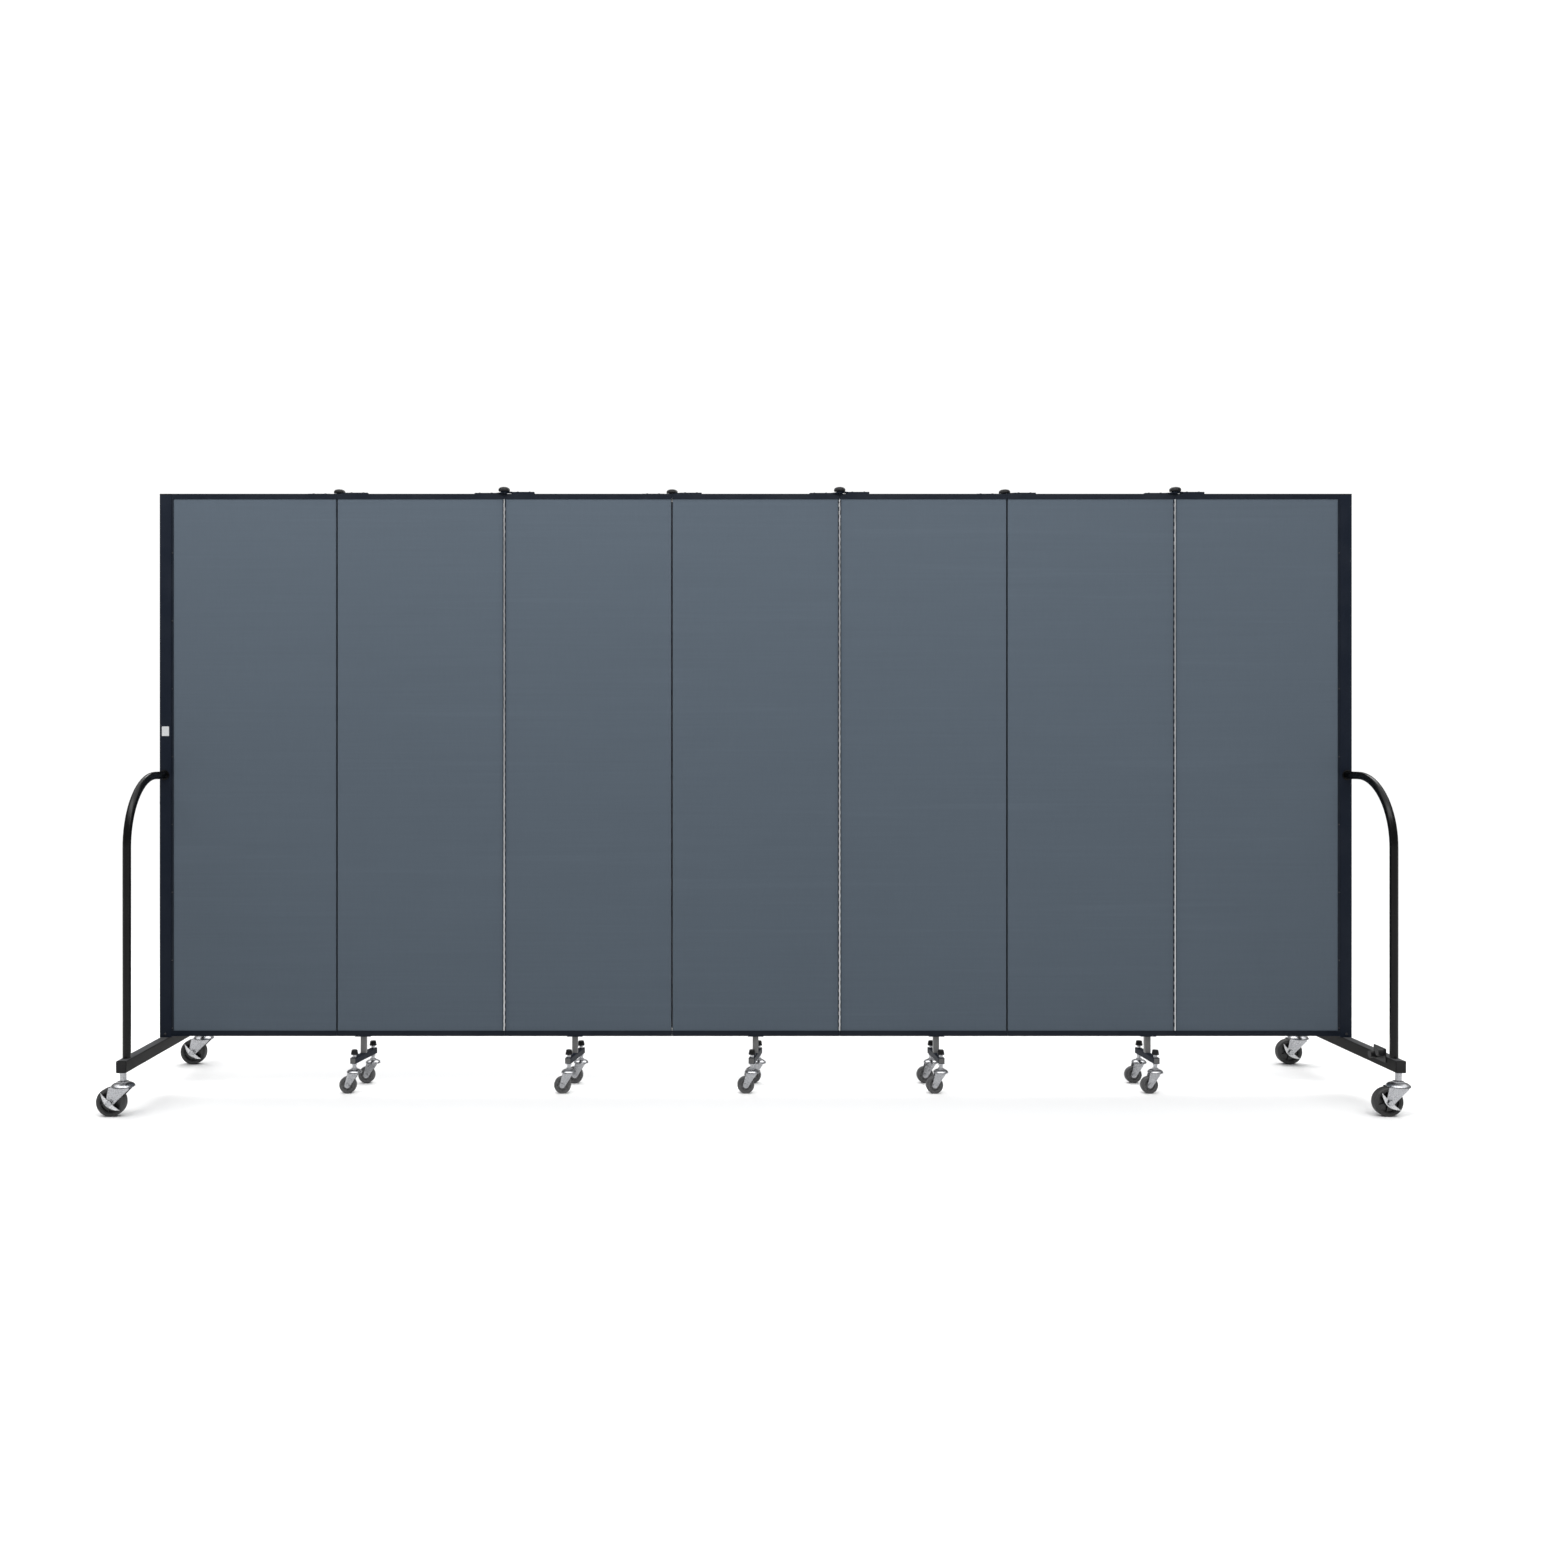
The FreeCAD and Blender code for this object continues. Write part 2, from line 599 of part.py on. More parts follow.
def leg(panel):
    x = leg_centre_x(panel)
    half = LEG_TUBE / 2
    plate_z = PANEL_BOTTOM - LEG_PLATE_THICKNESS
    tube = hollow_bar(x - half, x + half, -half, half, CROSSBAR_TOP, plate_z,
                      LEG_WALL, ALONG_Z, LEG_ROUND)
    plate = box(x - LEG_PLATE_LENGTH / 2, x + LEG_PLATE_LENGTH / 2,
                -LEG_PLATE_DEPTH / 2, LEG_PLATE_DEPTH / 2, plate_z, PANEL_BOTTOM)
    plate = round_along(plate, ALONG_Z, LEG_ROUND)
    side = CROSSBAR_SIZE / 2
    reach = LEG_CASTER_SPACING / 2 + CROSSBAR_OVERHANG
    bar = hollow_bar(x - side, x + side, -reach, reach, CROSSBAR_BOTTOM, CROSSBAR_TOP,
                     LEG_WALL, ALONG_Y, LEG_ROUND)
    caps = []
    for y0 in (-reach, reach - CAP_THICKNESS):
        caps.append(box(x - side + LEG_WALL, x + side - LEG_WALL, y0, y0 + CAP_THICKNESS,
                        CROSSBAR_BOTTOM + LEG_WALL, CROSSBAR_TOP - LEG_WALL))
    for shape in [bar] + caps:
        shape.rotate(V(x, 0, 0), ALONG_Z, -LEG_SKEWS[panel])
    solids = [tube, plate] + caps
    stem_top = CROSSBAR_TOP + LEG_KNOB_LIFT + LEG_KNOB_HEIGHT / 2
    knob_z = CROSSBAR_TOP + LEG_KNOB_LIFT
    for stem_x, stem_y in leg_stem_places(panel):
        solids += caster_stem(SMALL, stem_x, stem_y, stem_top)
        hole = rod(V(stem_x, stem_y, CROSSBAR_BOTTOM), ALONG_Z, SMALL.stem_radius, CROSSBAR_SIZE)
        bar = bar.cut(hole)
        knob = Part.makeCone(LEG_KNOB_RADIUS, LEG_KNOB_TOP_RADIUS, LEG_KNOB_HEIGHT,
                             V(stem_x, stem_y, knob_z), ALONG_Z)
        solids.append(knob.cut(rod(V(stem_x, stem_y, knob_z), ALONG_Z,
                                   SMALL.stem_radius, stem_top - knob_z)))
    return solids + [bar]


# ---------------------------------------------------------------- end frames
def brace(side):
    """Curved tube from the front of the post down to the front of the foot."""
    x = end_x(side, END_PLANE)
    bend_y = BRACE_BEND - BRACE_STANDOFF
    start = V(x, -FACE, BRACE_TOP)
    bend_start = V(x, bend_y, BRACE_TOP)
    bend_end = V(x, -BRACE_STANDOFF, BRACE_TOP - BRACE_BEND)
    foot = V(x, -BRACE_STANDOFF, FOOT_TOP)
    reach = BRACE_BEND * math.sin(math.radians(45))
    middle = V(x, bend_y - reach, BRACE_TOP - BRACE_BEND + reach)
    run = [Part.LineSegment(start, bend_start).toShape()]
    run.append(Part.Arc(bend_start, middle, bend_end).toShape())
    run.append(Part.LineSegment(bend_end, foot).toShape())
    path = Part.Wire(run)
    tubes = []
    for radius in (BRACE_RADIUS, BRACE_RADIUS - BRACE_WALL):
        section = Part.Wire(Part.makeCircle(radius, start, ALONG_Y))
        tubes.append(path.makePipeShell([section], True, False))
    tube = tubes[0].cut(tubes[1])
    collar = ring(start, -ALONG_Y, BRACE_COLLAR_RADIUS, BRACE_RADIUS, BRACE_COLLAR_THICKNESS)
    return [tube, collar]


def foot_stem_places(side):
    """Front and rear caster stems of an end foot."""
    x = end_x(side, END_PLANE)
    y = FOOT_LENGTH / 2 - FOOT_CASTER_INSET
    return (x, -y), (x, y)


def storage_catch(side):
    """Plate and two round pads that hold the other end frame when the wall is folded."""
    inner_x = end_x(side, END_PLANE - FOOT_WIDTH / 2)
    y0 = -BRACE_STANDOFF + BRACE_RADIUS + CATCH_BRACE_GAP
    z0 = FOOT_TOP - FOOT_HEIGHT / 2
    plate = box(inner_x, inner_x - side * CATCH_PLATE_THICKNESS, y0, y0 + CATCH_LENGTH,
                z0, z0 + CATCH_RISE)
    plate = round_along(plate, ALONG_X, CATCH_PLATE_THICKNESS)
    solids = [plate]
    pad_x = inner_x - side * CATCH_PLATE_THICKNESS
    inset = CATCH_PAD_RADIUS + CATCH_PLATE_THICKNESS
    near = (y0 + inset, z0 + CATCH_RISE - inset)
    far = (y0 + CATCH_LENGTH - inset, z0 + inset)
    for pad_y, pad_z in (near, far):
        solids.append(rod(V(pad_x, pad_y, pad_z), ALONG_X * -side, CATCH_PAD_RADIUS, CATCH_PAD_LENGTH))
    return solids


def end_frame(side):
    x = end_x(side, END_PLANE)
    half = FOOT_WIDTH / 2
    reach = FOOT_LENGTH / 2
    foot = hollow_bar(x - half, x + half, -reach, reach, FOOT_BOTTOM, FOOT_TOP,
                      FOOT_WALL, ALONG_Y, FOOT_ROUND)
    solids = []
    for y0 in (-reach, reach - CAP_THICKNESS):
        solids.append(box(x - half + FOOT_WALL, x + half - FOOT_WALL, y0, y0 + CAP_THICKNESS,
                          FOOT_BOTTOM + FOOT_WALL, FOOT_TOP - FOOT_WALL))
    for stem_x, stem_y in foot_stem_places(side):
        top = FOOT_TOP - FOOT_HEIGHT / 2
        solids += caster_stem(LARGE, stem_x, stem_y, top)
        foot = foot.cut(rod(V(stem_x, stem_y, FOOT_BOTTOM), ALONG_Z, LARGE.stem_radius, FOOT_WALL))
    outer = end_x(side, POST_OUTER)
    inner = end_x(side, POST_INNER)
    low, high = min(outer, inner), max(outer, inner)
    post = hollow_bar(low, high, -FACE, FACE, FOOT_TOP, PANEL_TOP - CAP_THICKNESS,
                      POST_WALL, ALONG_Z, POST_ROUND)
    cap = box(low, high, -FACE, FACE, PANEL_TOP - CAP_THICKNESS, PANEL_TOP)
    cap = round_along(cap, ALONG_Z, POST_ROUND)
    bolt_start = V(outer, 0, POST_BOLT_HEIGHT)
    bolt = Part.makeCone(POST_BOLT_RADIUS, POST_BOLT_RADIUS - POST_BOLT_HEAD / 2,
                         POST_BOLT_HEAD, bolt_start, ALONG_X * side)
    solids += [foot, post, cap, bolt]
    solids += brace(side)
    if side > 0:
        solids += storage_catch(side)
    return solids


# ---------------------------------------------------------------- write every node
os.makedirs("parts", exist_ok=True)
for number in range(1, PANEL_COUNT + 1):
    label = "panel_" + str(number)
    save(label + "_frame", panel_frame(number))
    save(label + "_board", [board(number)])
    save(label + "_hinge_leaves", panel_hinges(number))
    if number in LEG_OFFSETS:
        save(label + "_leg", leg(number))
        stems = leg_stem_places(number)
        size = SMALL
    else:
        end_side = -1 if number == 1 else 1
        save(("left" if end_side < 0 else "right") + "_end_frame", end_frame(end_side))
        stems = foot_stem_places(end_side)
        size = LARGE
    for place, (caster_x, caster_y) in zip(("front", "rear"), stems):
        save_caster("caster_" + str(number) + "_" + place, size, caster_x, caster_y)
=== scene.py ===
import json
import math

import bmesh
import bpy
from mathutils import Matrix, Vector

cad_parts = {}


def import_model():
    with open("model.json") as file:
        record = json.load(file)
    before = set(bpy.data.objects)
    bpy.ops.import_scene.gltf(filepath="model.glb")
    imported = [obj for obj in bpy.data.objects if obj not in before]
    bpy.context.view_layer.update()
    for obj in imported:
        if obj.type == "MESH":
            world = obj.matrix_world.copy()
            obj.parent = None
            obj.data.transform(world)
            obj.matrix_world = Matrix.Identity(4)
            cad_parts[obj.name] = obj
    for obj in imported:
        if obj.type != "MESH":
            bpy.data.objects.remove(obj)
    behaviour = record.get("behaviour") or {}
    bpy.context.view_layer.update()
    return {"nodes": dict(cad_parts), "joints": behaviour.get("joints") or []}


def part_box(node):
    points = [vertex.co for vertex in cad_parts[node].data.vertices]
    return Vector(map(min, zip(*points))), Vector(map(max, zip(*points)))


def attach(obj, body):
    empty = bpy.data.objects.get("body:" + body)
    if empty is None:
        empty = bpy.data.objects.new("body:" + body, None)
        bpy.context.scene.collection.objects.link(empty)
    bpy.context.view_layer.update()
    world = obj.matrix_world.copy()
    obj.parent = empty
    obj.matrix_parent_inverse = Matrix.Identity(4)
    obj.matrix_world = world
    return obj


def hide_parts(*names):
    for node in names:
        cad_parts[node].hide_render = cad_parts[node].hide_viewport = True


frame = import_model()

# A folding partition wall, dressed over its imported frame. Metres, X along the wall, -Y the front, +Z up.
nodes = frame["nodes"]
joints = {j["name"]: j for j in frame["joints"]}

MM = 0.001
PANELS = range(1, 8)
SEAMS = range(1, 7)
LEGS = range(2, 7)
ENDS = {1: "left_end_frame", 7: "right_end_frame"}
PLACES = ("front", "rear")
WALL_FACE = 19 * MM  # from the middle of the panels to their front or back


# ---------------------------------------------------------------- materials
class Graph:
    """A short way to write a material's nodes."""

    def __init__(self, name):
        self.material = bpy.data.materials.new(name)
        self.material.use_nodes = True
        self.tree = self.material.node_tree
        self.shader = self.tree.nodes["Principled BSDF"]
        coordinates = self.tree.nodes.new("ShaderNodeTexCoord")
        self.place = coordinates.outputs["Object"]
        self.normal = coordinates.outputs["Normal"]

    def put(self, socket, value):
        if isinstance(value, bpy.types.NodeSocket):
            self.tree.links.new(value, socket)
        else:
            socket.default_value = value

    def math(self, operation, a, b=0.0, c=0.0):
        node = self.tree.nodes.new("ShaderNodeMath")
        node.operation = operation
        for socket, value in zip(node.inputs, (a, b, c)):
            self.put(socket, value)
        return node.outputs[0]

    def split(self, vector):
        node = self.tree.nodes.new("ShaderNodeSeparateXYZ")
        self.put(node.inputs[0], vector)
        return node.outputs[0], node.outputs[1], node.outputs[2]

    def normal_z(self):
        return self.split(self.normal)[2]

    def noise(self, scale, stretch=(1, 1, 1), detail=3.0, roughness=0.55, offset=0.0):
        mapping = self.tree.nodes.new("ShaderNodeMapping")
        self.put(mapping.inputs["Vector"], self.place)
        mapping.inputs["Scale"].default_value = stretch
        mapping.inputs["Location"].default_value = (offset, offset, offset)
        node = self.tree.nodes.new("ShaderNodeTexNoise")
        self.put(node.inputs["Vector"], mapping.outputs[0])
        node.inputs["Scale"].default_value = scale
        node.inputs["Detail"].default_value = detail
        node.inputs["Roughness"].default_value = roughness
        return node.outputs[0]

    def span(self, value, low, high, to_low=0.0, to_high=1.0):
        node = self.tree.nodes.new("ShaderNodeMapRange")
        for socket, number in zip(node.inputs, (value, low, high, to_low, to_high)):
            self.put(socket, number)
        return node.outputs[0]

    def mix(self, factor, a, b):
        node = self.tree.nodes.new("ShaderNodeMix")
        node.data_type = "RGBA"
        self.put(node.inputs["Factor"], factor)
        self.put(node.inputs[6], a)
        self.put(node.inputs[7], b)
        return node.outputs[2]

    def bump(self, height, strength, distance):
        node = self.tree.nodes.new("ShaderNodeBump")
        node.inputs["Strength"].default_value = strength
        node.inputs["Distance"].default_value = distance
        self.put(node.inputs["Height"], height)
        self.tree.links.new(node.outputs[0], self.shader.inputs["Normal"])

    def set(self, **values):
        for name, value in values.items():
            self.put(self.shader.inputs[name.replace("_", " ").title().replace("Ior", "IOR")], value)


def rgb(red, green, blue):
    return (red, green, blue, 1.0)


def coated(name, dark, light, rough, grain, bump, metallic=0.0, specular=0.5,
           stretch=(1, 1, 1), smudge=0.35, painted_top_light=0.0):
    """Paint, plating, plastic or rubber: a grain at its own scale, smudges over it, and, where asked, a
    painted highlight on upward faces standing for light from above.
    """
    g = Graph(name)
    fine = g.noise(grain, stretch)
    broad = g.noise(9.0, offset=3.7, detail=5.0)
    worn = g.span(broad, 0.42, 0.72)
    colour = g.mix(g.span(fine, 0.35, 0.7), rgb(*dark), rgb(*light))
    dusty = [channel + (1 - channel) * 0.05 for channel in light]
    colour = g.mix(g.math("MULTIPLY", worn, smudge), colour, rgb(*dusty))
    # Painted highlight: faces turned upwards are lightened towards pale grey, as if lit from above.
    if painted_top_light:
        lit_top_mask = g.span(g.math("ADD", g.normal_z(), g.math("MULTIPLY", fine, 0.15)), 0.6, 1.0)
        colour = g.mix(g.math("MULTIPLY", lit_top_mask, painted_top_light), colour, rgb(0.075, 0.077, 0.08))
    g.set(base_color=colour, metallic=metallic, specular_ior_level=specular)
    low, high = rough
    uneven = g.math("ADD", g.math("MULTIPLY", fine, 0.6), g.math("MULTIPLY", broad, 0.4))
    g.set(roughness=g.span(uneven, 0.3, 0.7, low, high))
    g.bump(fine, 0.35, bump)
    return g.material


def woven(name, dark, light):
    """Plain-woven cloth with horizontal slubs; threads cross over and under each other."""
    g = Graph(name)
    thread = 1.5 * MM
    x, y, z = g.split(g.place)
    across = g.math("DIVIDE", g.math("ADD", x, y), thread)
    up = g.math("DIVIDE", z, thread)
    parity = g.math("PINGPONG", g.math("ADD", g.math("FLOOR", across), g.math("FLOOR", up)), 1.0)
    warp = g.math("ABSOLUTE", g.math("SINE", g.math("MULTIPLY", across, math.pi)))
    weft = g.math("ABSOLUTE", g.math("SINE", g.math("MULTIPLY", up, math.pi)))
    over = g.math("MULTIPLY", warp, g.math("MULTIPLY_ADD", parity, 0.4, 0.6))
    under = g.math("MULTIPLY", weft, g.math("MULTIPLY_ADD", parity, -0.4, 1.0))
    weave = g.math("MAXIMUM", over, under)
    slub = g.noise(1.0, (1.6, 1.6, 95.0), detail=4.0, roughness=0.7)
    yarn = g.noise(1.0, (260.0, 260.0, 24.0), detail=2.0)
    tone = g.noise(1.3, detail=3.0, offset=5.1)
    strand = g.noise(1.0, (0.9, 0.9, 30.0), detail=2.0, offset=2.3)
    shade = g.math("MULTIPLY_ADD", g.span(slub, 0.3, 0.7), 0.15, 0.17)
    shade = g.math("ADD", shade, g.math("MULTIPLY", g.span(strand, 0.62, 0.72), 0.1))
    shade = g.math("ADD", shade, g.math("MULTIPLY", weave, 0.28))
    shade = g.math("ADD", shade, g.math("MULTIPLY", yarn, 0.16))
    shade = g.math("ADD", shade, g.math("MULTIPLY", tone, 0.12))
    g.set(base_color=g.mix(shade, rgb(*dark), rgb(*light)), roughness=g.span(weave, 0, 1, 0.97, 0.82),
          specular_ior_level=0.2, sheen_weight=0.12, sheen_roughness=0.45)
    thick = g.math("ADD", weave, g.math("MULTIPLY", slub, 0.6))
    g.bump(thick, 0.5, 0.25 * MM)
    return g.material


CLOTH = woven("slate_cloth", (0.0456, 0.0593, 0.0755), (0.0783, 0.1, 0.1256))
TRIM = coated("black_anodised", (0.002, 0.0045, 0.009), (0.004, 0.007, 0.014), (0.36, 0.52), 900,
              0.05 * MM, specular=0.15, stretch=(0.05, 1, 1), smudge=0.08)
PAINT = coated("black_powder_coat", (0.005, 0.0075, 0.0135), (0.008, 0.0115, 0.0195), (0.42, 0.56), 1400,
               0.08 * MM, specular=0.07, smudge=0.06)
# Feet: black powder coat whose top faces carry a painted highlight for light from above.
FOOT_PAINT = coated("black_powder_coat_painted_top_light", (0.004, 0.004, 0.004), (0.0075, 0.0075, 0.007),
                    (0.42, 0.56), 1400, 0.08 * MM, specular=0.07, smudge=0.06, painted_top_light=0.75)
GLOSS = coated("black_gloss_enamel", (0.0012, 0.0012, 0.0012), (0.0022, 0.0022, 0.0022), (0.2, 0.3), 500,
               0.02 * MM, specular=0.2, smudge=0.04)
PLASTIC = coated("black_moulded_plastic", (0.004, 0.004, 0.0045), (0.009, 0.009, 0.0095), (0.3, 0.46), 1800,
                 0.05 * MM, specular=0.2, smudge=0.1)
GREY_CAP = coated("grey_moulded_cap", (0.055, 0.055, 0.055), (0.085, 0.085, 0.085), (0.4, 0.55), 1500,
                  0.05 * MM)
LEG_PAINT = coated("dark_grey_enamel", (0.095, 0.095, 0.095), (0.14, 0.14, 0.14), (0.34, 0.5), 1200,
                   0.05 * MM, specular=0.4)
ZINC = coated("bright_zinc", (0.30, 0.305, 0.32), (0.47, 0.475, 0.49), (0.2, 0.4), 260, 0.03 * MM,
              metallic=1.0, smudge=0.2)
LEVER_ZINC = coated("pressed_zinc", (0.44, 0.45, 0.46), (0.66, 0.66, 0.67), (0.22, 0.4), 260, 0.03 * MM,
                    metallic=1.0, smudge=0.15)
STEEL = coated("satin_steel", (0.42, 0.43, 0.44), (0.70, 0.71, 0.72), (0.24, 0.42), 700, 0.03 * MM,
               metallic=1.0, stretch=(1, 1, 0.04), smudge=0.3)
TYRE = coated("black_rubber_tread", (0.010, 0.010, 0.010), (0.022, 0.022, 0.022), (0.5, 0.72), 1100,
              0.1 * MM, specular=0.4, smudge=0.8)
HUB = coated("black_nylon_hub", (0.008, 0.008, 0.008), (0.014, 0.014, 0.014), (0.3, 0.45), 900, 0.04 * MM)
GREY_TYRE = coated("grey_rubber_tread", (0.035, 0.035, 0.036), (0.062, 0.062, 0.064), (0.5, 0.7), 1100,
                   0.1 * MM, smudge=0.6)
GREY_HUB = coated("grey_nylon_hub", (0.07, 0.07, 0.071), (0.105, 0.105, 0.107), (0.35, 0.5), 900, 0.04 * MM)
DARK_STEEL = coated("black_oxide_steel", (0.02, 0.02, 0.022), (0.05, 0.05, 0.053), (0.3, 0.45), 600,
                    0.03 * MM, metallic=0.8)
LABEL = coated("pale_label", (0.42, 0.43, 0.44), (0.5, 0.51, 0.52), (0.3, 0.4), 400, 0.01 * MM)


# ---------------------------------------------------------------- mesh helpers
def shade(mesh, sharp_degrees=38):
    mesh.shade_smooth()
    mesh.set_sharp_from_angle(angle=math.radians(sharp_degrees))


def piece(name, bm, body, materials, replaced=()):
    """Turns a bmesh into a piece that rides on a body."""
    bmesh.ops.recalc_face_normals(bm, faces=bm.faces)
    mesh = bpy.data.meshes.new(name)
    bm.to_mesh(mesh)
    bm.free()
    for material in materials:
        mesh.materials.append(material)
    shade(mesh)
    made = bpy.data.objects.new(name, mesh)
    bpy.context.scene.collection.objects.link(made)
    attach(made, body)
    if replaced:
        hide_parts(*replaced)
    return made


def bevel(made, width, segments=2, degrees=35):
    modifier = made.modifiers.new("edges", "BEVEL")
    modifier.width = width
    modifier.segments = segments
    modifier.limit_method = "ANGLE"
    modifier.angle_limit = math.radians(degrees)
    modifier.use_clamp_overlap = True
    modifier.harden_normals = False
    return made


def paint(faces, index):
    for face in faces:
        face.material_index = index


def loop_faces(bm, rings):
    """Skins a run of closed rings of points, all with the same count, and caps both ends."""
    made = [[bm.verts.new(point) for point in ring] for ring in rings]
    faces = []
    count = len(made[0])
    for low, high in zip(made, made[1:]):
        for i in range(count):
            j = (i + 1) % count
            faces.append(bm.faces.new((low[i], low[j], high[j], high[i])))
    faces.append(bm.faces.new(made[0][::-1]))
    faces.append(bm.faces.new(made[-1]))
    return faces


def basis(origin, axis):
    """Places local Z on an axis at an origin."""
    return Matrix.Translation(Vector(origin)) @ Vector(axis).to_track_quat("Z", "Y").to_matrix().to_4x4()


def turned(profile, origin, axis, segments):
    """Rings of points for (radius, height) pairs turned about an axis."""
    place = basis(origin, axis)
    rings = []
    for radius, height in profile:
        ring = []
        for i in range(segments):
            turn = 2 * math.pi * i / segments
            ring.append(place @ Vector((radius * math.cos(turn), radius * math.sin(turn), height)))
        rings.append(ring)
    return rings


def skin(bm, rings, index=0):
    """Skins a run of closed rings and joins the last one to the first."""
    made = [[bm.verts.new(point) for point in ring] for ring in rings]
    faces = []
    count = len(rings[0])
    for low, high in zip(made, made[1:] + made[:1]):
        for i in range(count):
            j = (i + 1) % count
            faces.append(bm.faces.new((low[i], low[j], high[j], high[i])))
    paint(faces, index)


def lathe(bm, profile, origin, axis, segments=48, index=0):
    """Turns a closed profile of (radius, height) points about an axis."""
    skin(bm, turned(profile, origin, axis, segments), index)


def spun(bm, profile, origin, axis, segments=48, index=0):
    """Turns an open profile about an axis and closes its two ends with faces."""
    paint(loop_faces(bm, turned(profile, origin, axis, segments)), index)


def arc(centre, radius, start, end, steps):
    """Points of an arc, in degrees."""
    points = []
    for i in range(steps + 1):
        turn = math.radians(start + (end - start) * i / steps)
        points.append((centre[0] + radius * math.cos(turn), centre[1] + radius * math.sin(turn)))
    return points


def plate(bm, outline, low, high, frame_of, index=0):
    """A flat plate: an outline of (u, v) points between two depths, placed by a function."""
    rings = [[frame_of(u, v, depth) for u, v in outline] for depth in (low, high)]
    paint(loop_faces(bm, rings), index)


def solids(bm):
    """Faces of each separate solid. Solids that touch are joined only by edges with more than two faces."""
    bmesh.ops.remove_doubles(bm, verts=bm.verts, dist=0.002 * MM)
    left = set(bm.faces)
    groups = []
    while left:
        front = [left.pop()]
        group = []
        while front:
            face = front.pop()
            group.append(face)
            for edge in face.edges:
                if len(edge.link_faces) != 2:
                    continue
                for other in edge.link_faces:
                    if other in left:
                        left.remove(other)
                        front.append(other)
        groups.append(group)
    return groups


def extent(faces):
    points = [vert.co for face in faces for vert in face.verts]
    low = Vector([min(p[i] for p in points) for i in range(3)])
    high = Vector([max(p[i] for p in points) for i in range(3)])
    return low, high


def dressed(name, node, body, materials, choose, width=0.5 * MM, reshape=None):
    """A finished copy of a CAD node: each solid gets its own material, and edges get a fine radius.
    choose(low, high) gives a solid's material index, or None where another piece stands for it."""
    bm = bmesh.new()
    bm.from_mesh(nodes[node].data)
    dropped = []
    for group in solids(bm):
        index = choose(*extent(group))
        if index is None:
            dropped += group
        else:
            paint(group, index)
    bmesh.ops.delete(bm, geom=dropped, context="FACES")
    crowded = [edge for edge in bm.edges if len(edge.link_faces) > 2]
    bmesh.ops.split_edges(bm, edges=crowded)
    bmesh.ops.dissolve_limit(bm, angle_limit=math.radians(0.5), verts=bm.verts, edges=bm.edges,
                             delimit={"MATERIAL"})
    if reshape:
        reshape(bm)
    return bevel(piece(name, bm, body, materials, [node]), width)


# ---------------------------------------------------------------- fabric-covered boards
COVER_TUCK = 0.35 * MM  # between the cloth and the rail flanges
COVER_CROWN = 0.7 * MM
COVER_ROUND = 2.6 * MM
COVER_COLUMNS = 22
COVER_ROWS = 46
COVER_ROUND_STEPS = 5


def cover_section(low, high, crown):
    """The outline of a covered board, seen from above: flat faces, round wrapped edges."""
    radius = COVER_ROUND
    width = high.x - low.x
    points = []
    for face in (-1, 1):
        y_face = (high.y if face > 0 else low.y) - face * COVER_TUCK
        start = low.x + radius if face < 0 else high.x - radius
        for i in range(COVER_COLUMNS + 1):
            along = i / COVER_COLUMNS
            x = start - face * (width - 2 * radius) * along
            lift = crown * (1 - (2 * along - 1) ** 4)
            points.append((x, y_face + face * lift))
        corner = (high.x - radius if face < 0 else low.x + radius, y_face - face * radius)
        first, last = (-90, 0) if face < 0 else (90, 180)
        points += arc(corner, radius, first, last, COVER_ROUND_STEPS)[1:]
        far_corner = (corner[0], -corner[1])
        first, last = (0, 90) if face < 0 else (180, 270)
        points += arc(far_corner, radius, first, last, COVER_ROUND_STEPS)[:-1]
    return points


def cover(panel):
    """Cloth drawn tight over a padded board. It sinks a little where the rails grip it."""
    low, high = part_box(f"panel_{panel}_board")
    bm = bmesh.new()
    rings = []
    height = high.z - low.z
    for i in range(COVER_ROWS + 1):
        along = i / COVER_ROWS
        z = low.z + height * along
        swell = 1 - (2 * along - 1) ** 8
        rings.append([(x, y, z) for x, y in cover_section(low, high, COVER_CROWN * swell)])
    loop_faces(bm, rings)
    made = piece(f"cloth_cover_{panel}", bm, f"panel_{panel}", [CLOTH],
                 [f"panel_{panel}_board"])


for number in PANELS:
    cover(number)

# ---------------------------------------------------------------- continuous hinges
KNUCKLE = 12.7 * MM
KNUCKLE_GAP = 0.6 * MM
BARREL = 2.45 * MM
PIN = 1.2 * MM
LEAF = 1.2 * MM
LEAF_DEPTH = 30 * MM
LEAF_BACK = 2.9 * MM  # from the hinge axis to the leaf's outer edge
LIP_WIDTH = 2.6 * MM  # dark strip along the barrel's side of each panel
LIP_Y = (16.6 * MM, 18.5 * MM)
LIP_END_GAP = 19 * MM
LUG_X = (2.0 * MM, 3.3 * MM)  # the knuckles' flats, let into the dark strip
LUG_Y = (17.8 * MM, 18.85 * MM)
LUG_TRIM = 0.6 * MM
PIN_GAP = 0.06 * MM
PIN_TIP = 0.5 * MM
PIN_SEGMENTS = 14
WRAP_SWEEP = 250  # degrees of the leaf's curl about the pin
WRAP_STEPS = 12


def hinge_axis(seam):
    return Vector(joints[f"panel_hinge_{seam}"]["pos_m"])


def upright(u, v, height):
    """Stands a plate's outline on end, so its depth is a height."""
    return (u, v, height)


